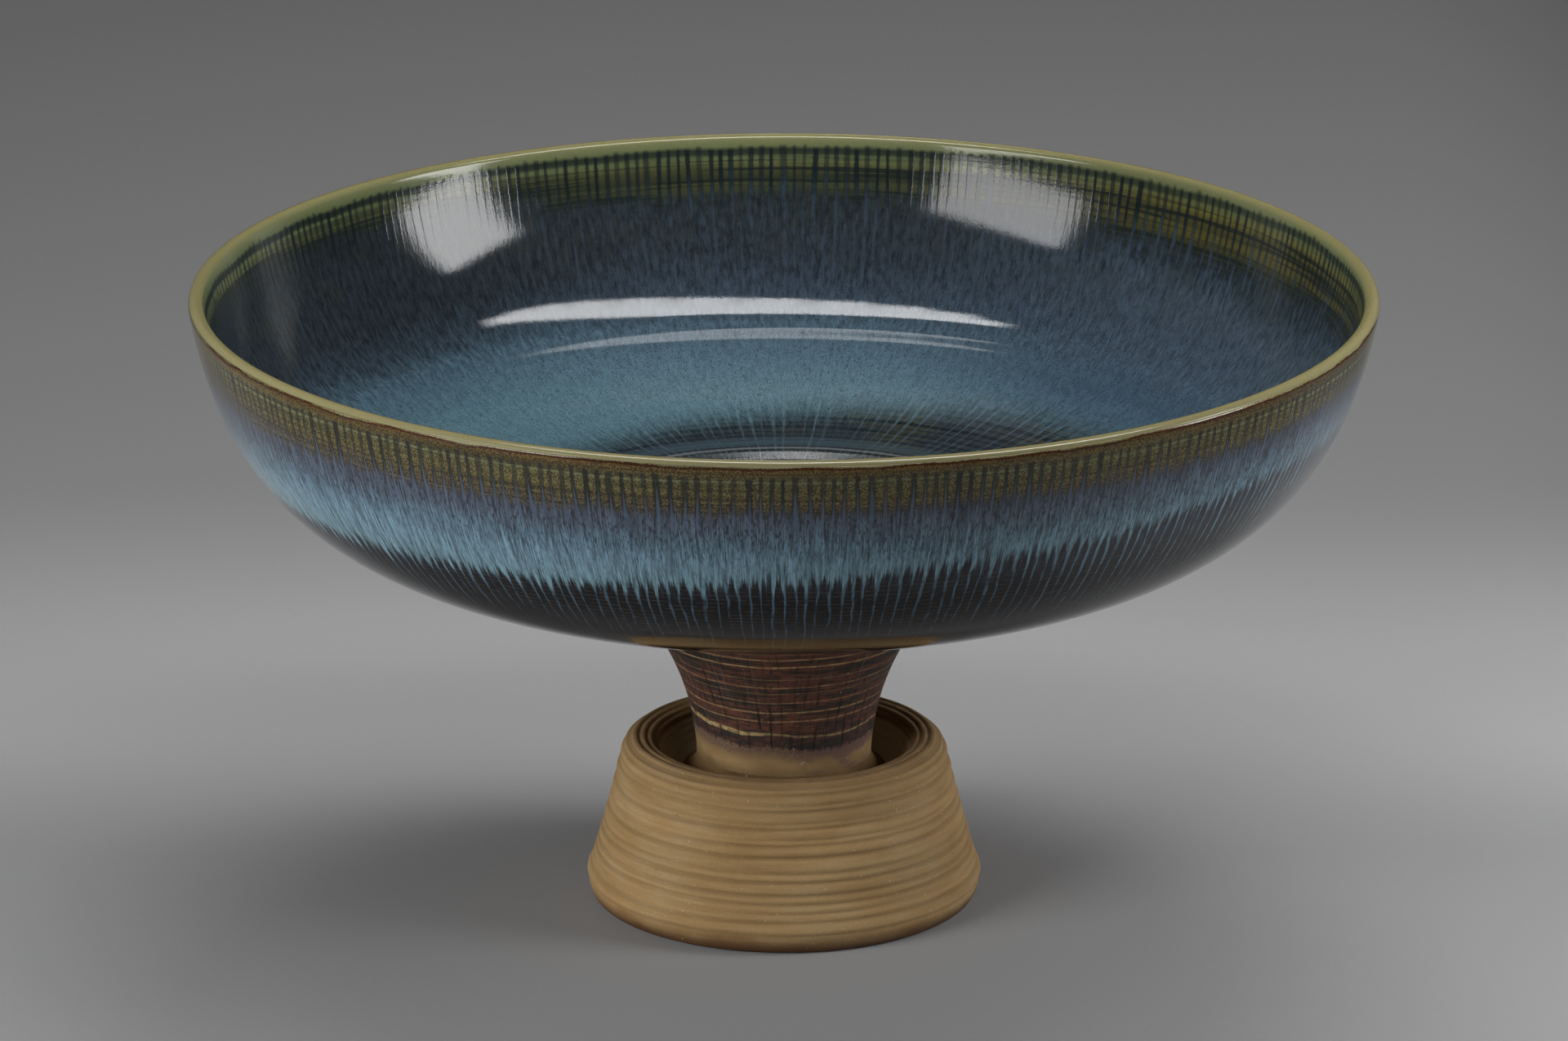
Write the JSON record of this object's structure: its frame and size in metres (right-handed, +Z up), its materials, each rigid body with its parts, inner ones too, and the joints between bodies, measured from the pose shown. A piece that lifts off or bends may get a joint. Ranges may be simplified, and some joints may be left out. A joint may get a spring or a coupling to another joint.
{
  "type": "footed bowl",
  "caption": "Wide glazed stoneware bowl with a rounded lip, carried on a hollow flared stem that stands in a ribbed, rolled-in collar foot.",
  "frame": {"origin": "centre of the resting ring, on the surface that the foot stands on", "axes": "+Z up along the axis that every piece was turned about; X and Y are alike"},
  "size_m": [0.3, 0.3, 0.1613],
  "materials": {
    "foot_clay": "bare tan-brown stoneware with fine pale grog, throwing rings and a toasted lower edge",
    "slip_joint": "bare slip, matt brown, wiped into a small hollow fillet",
    "stem_slip": "matt red-brown and slate-black banded slip with fine ochre lines over bare tan clay at its lower end",
    "bowl_clay": "bare tan-brown stoneware under the glaze",
    "outer_glaze": "glossy haresfur glaze, olive at the rim, light blue belt, near-black below with thin blue runs",
    "inner_glaze": "glossy haresfur glaze, pale green lip, olive band, deep blue wall and teal floor with a dark centre"
  },
  "bodies": {
    "root": {"foot": "foot_clay", "foot_lute": "slip_joint", "stem": "stem_slip", "bowl_lute": "slip_joint", "bowl": "bowl_clay", "outer_glaze": "outer_glaze", "inner_glaze": "inner_glaze"}
  },
  "joints": []
}
